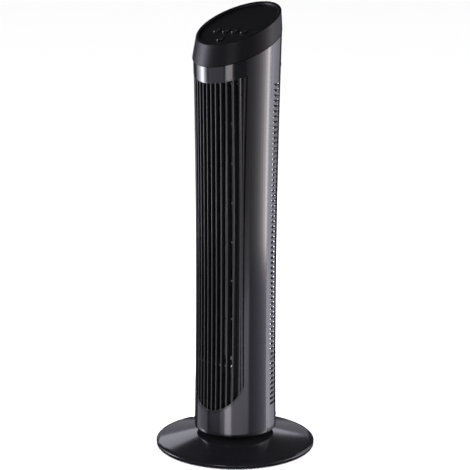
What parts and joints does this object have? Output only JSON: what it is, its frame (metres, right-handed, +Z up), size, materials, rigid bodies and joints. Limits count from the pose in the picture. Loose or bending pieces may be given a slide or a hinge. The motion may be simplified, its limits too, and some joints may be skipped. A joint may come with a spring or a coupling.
{
  "type": "tower fan",
  "caption": "Upright cross-flow tower fan on a round conical base, with a slatted outlet, rear inlet louvres, a slanted cap with push keys and a swing drive.",
  "frame": {"origin": "centre of the round base, on the floor", "axes": "+Z up along the tower; the air outlet faces -Y; the inlet louvres face +Y; +X is to the right when the fan is seen from the front"},
  "size_m": [0.268, 0.268, 0.74],
  "materials": {
    "base_plastic": "polished black moulding with a soft sheen",
    "shell_plastic": "high-gloss black moulding",
    "rear_plastic": "gloss black moulding",
    "grille_plastic": "semi-gloss black moulding",
    "cap_plastic": "satin black moulding",
    "panel_plastic": "satin black moulding",
    "key_plastic": "polished black moulding",
    "inner_plastic": "plain dark grey moulding",
    "duct_plastic": "dull black moulding",
    "column_plastic": "natural white low-friction plastic",
    "washer_plastic": "waxy white low-friction plastic",
    "crank_plastic": "white low-friction plastic",
    "impeller_plastic": "dull black moulding",
    "foot_rubber": "matt black rubber",
    "screw_steel": "zinc-plated, slightly dull",
    "plated_steel": "galvanised sheet",
    "core_steel": "bare laminated steel",
    "shaft_steel": "ground steel",
    "spring_steel": "bright spring wire",
    "motor_can": "plated can",
    "shield_alloy": "as-cast aluminium",
    "copper_winding": "varnished copper wire",
    "bush_bronze": "oiled sintered bronze",
    "capacitor_case": "moulded black case",
    "loom_sleeve": "black woven-look sleeve",
    "switch_case": "tan phenolic moulding"
  },
  "bodies": {
    "base": {"base_cover": "base_plastic", "base_bottom_plate": "inner_plastic", "rubber_feet": "foot_rubber", "base_screws": "screw_steel", "pivot_column": "column_plastic", "column_screws": "screw_steel", "thrust_washer": "washer_plastic", "swing_yoke": "plated_steel", "yoke_screws": "screw_steel"},
    "tower": {"front_shell": "shell_plastic", "rear_shell": "rear_plastic", "front_grille": "grille_plastic", "shell_screws": "screw_steel", "tower_floor": "inner_plastic", "bulkhead_plate": "inner_plastic", "swing_motor": "motor_can", "swing_motor_screws": "screw_steel", "motor_plate": "plated_steel", "motor_stator": "core_steel", "motor_windings": "copper_winding", "motor_lower_shield": "shield_alloy", "motor_upper_shield": "shield_alloy", "motor_bushes": "bush_bronze", "motor_bolts": "screw_steel", "motor_sleeves": "foot_rubber", "motor_capacitor": "capacitor_case", "wire_loom": "loom_sleeve", "air_scroll": "duct_plastic", "air_tongue": "duct_plastic", "front_baffle": "duct_plastic", "top_plate": "inner_plastic", "top_bearing_rubber": "foot_rubber", "top_bearing_bush": "bush_bronze", "cap_housing": "cap_plastic", "control_panel": "panel_plastic", "switch_block": "switch_case", "switch_carrier": "inner_plastic", "off_key_spring": "spring_steel", "low_key_spring": "spring_steel", "medium_key_spring": "spring_steel", "high_key_spring": "spring_steel", "swing_key_spring": "spring_steel"},
    "impeller": {"impeller_hub": "impeller_plastic", "hub_grub_screw": "screw_steel", "impeller_top_disc": "impeller_plastic", "motor_rotor": "core_steel", "motor_shaft": "shaft_steel", "impeller_segment_1": "impeller_plastic", "impeller_segment_2": "impeller_plastic", "impeller_segment_3": "impeller_plastic", "impeller_segment_4": "impeller_plastic", "impeller_segment_5": "impeller_plastic", "impeller_segment_6": "impeller_plastic", "impeller_segment_7": "impeller_plastic"},
    "crank": {"swing_crank": "crank_plastic"},
    "off_key": {"off_key": "key_plastic"},
    "low_key": {"low_key": "key_plastic"},
    "medium_key": {"medium_key": "key_plastic"},
    "high_key": {"high_key": "key_plastic"},
    "swing_key": {"swing_key": "key_plastic"}
  },
  "joints": [
    {"name": "tower_swing", "type": "hinge", "parent": "base", "child": "tower", "pos_m": [0, 0, 0.04], "axis": [0, 0, 1], "range_deg": [-35, 35]},
    {"name": "impeller_spin", "type": "hinge", "parent": "tower", "child": "impeller", "pos_m": [0, 0.004, 0.3854], "axis": [0, 0, 1], "continuous": true},
    {"name": "crank_turn", "type": "hinge", "parent": "tower", "child": "crank", "pos_m": [0, 0.02, 0.055], "axis": [0, 0, 1], "range_deg": [-91, 91]},
    {"name": "off_key_press", "type": "slide", "parent": "tower", "child": "off_key", "axis": [0, 0.4364, -0.8998], "range_m": [0, 0.0022], "stiffness_N_per_m": 300, "springref_m": -0.002, "deforming": ["off_key_spring"]},
    {"name": "low_key_press", "type": "slide", "parent": "tower", "child": "low_key", "axis": [0, 0.4364, -0.8998], "range_m": [0, 0.0022], "stiffness_N_per_m": 300, "springref_m": -0.002, "deforming": ["low_key_spring"]},
    {"name": "medium_key_press", "type": "slide", "parent": "tower", "child": "medium_key", "axis": [0, 0.4364, -0.8998], "range_m": [0, 0.0022], "stiffness_N_per_m": 300, "springref_m": -0.002, "deforming": ["medium_key_spring"]},
    {"name": "high_key_press", "type": "slide", "parent": "tower", "child": "high_key", "axis": [0, 0.4364, -0.8998], "range_m": [0, 0.0022], "stiffness_N_per_m": 300, "springref_m": -0.002, "deforming": ["high_key_spring"]},
    {"name": "swing_key_press", "type": "slide", "parent": "tower", "child": "swing_key", "axis": [0, 0.4364, -0.8998], "range_m": [0, 0.0022], "stiffness_N_per_m": 300, "springref_m": -0.002, "deforming": ["swing_key_spring"]}
  ],
  "couplings": [
    {"joint": "crank_turn", "follows": "tower_swing", "ratio": -2.5714}
  ]
}
